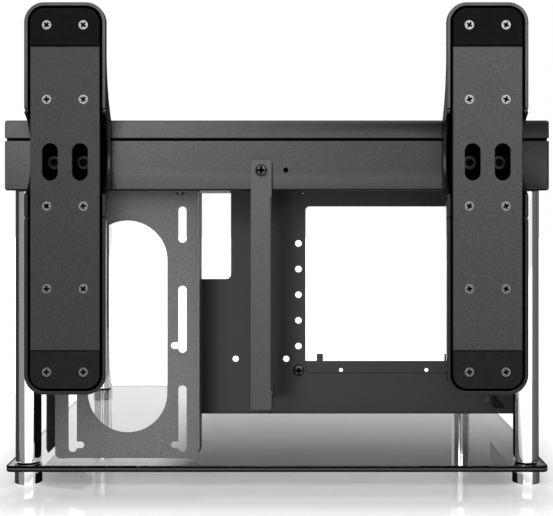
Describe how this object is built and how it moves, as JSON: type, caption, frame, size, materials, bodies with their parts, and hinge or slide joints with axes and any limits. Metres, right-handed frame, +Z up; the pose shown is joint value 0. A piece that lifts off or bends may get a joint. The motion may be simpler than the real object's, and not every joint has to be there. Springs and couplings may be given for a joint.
{
  "type": "open air test bench",
  "caption": "Open frame bench for testing computer parts: tinted glass base on round feet, chrome pillars, shallow housing, two long legs, fan bracket and board tray.",
  "frame": {"origin": "on the floor, under the middle of the bench's overall box", "axes": "+X to the right along the glass's long edge, +Y away from the legs' side, +Z up"},
  "size_m": [0.506, 0.447, 0.4438],
  "materials": {
    "tinted_glass": "polished, tinted",
    "chrome": "mirror",
    "rubber": "matte",
    "textured_paint": "fine sand texture, satin",
    "leg_paint": "satin",
    "smooth_paint": "smooth satin",
    "bright_steel": "zinc plated",
    "dark_steel": "black oxide",
    "brass": "turned"
  },
  "bodies": {
    "root": {"base_glass": "tinted_glass", "pillar_front_left": "chrome", "foot_front_left": "chrome", "pillar_front_right": "chrome", "foot_front_right": "chrome", "pillar_back_left": "chrome", "foot_back_left": "chrome", "pillar_back_right": "chrome", "foot_back_right": "chrome", "glass_washers": "rubber", "foot_studs": "bright_steel", "pillar_screws": "bright_steel", "housing_pan": "textured_paint", "housing_cover": "textured_paint", "cover_screws": "dark_steel", "leg_body_left": "leg_paint", "leg_plate_left": "textured_paint", "leg_pad_upper_left": "rubber", "leg_pad_lower_left": "rubber", "leg_body_right": "leg_paint", "leg_plate_right": "textured_paint", "leg_pad_upper_right": "rubber", "leg_pad_lower_right": "rubber", "leg_plate_screws": "bright_steel", "leg_pad_screws": "bright_steel", "leg_bolts": "dark_steel", "leg_nuts": "bright_steel", "fan_bracket": "textured_paint", "board_tray": "smooth_paint", "hanger_screws": "bright_steel", "support_rail": "smooth_paint", "rail_screws": "dark_steel", "board_standoffs": "brass", "brace_strap": "textured_paint", "strap_screws": "dark_steel", "corner_gusset": "smooth_paint", "corner_nut": "dark_steel"}
  },
  "joints": []
}
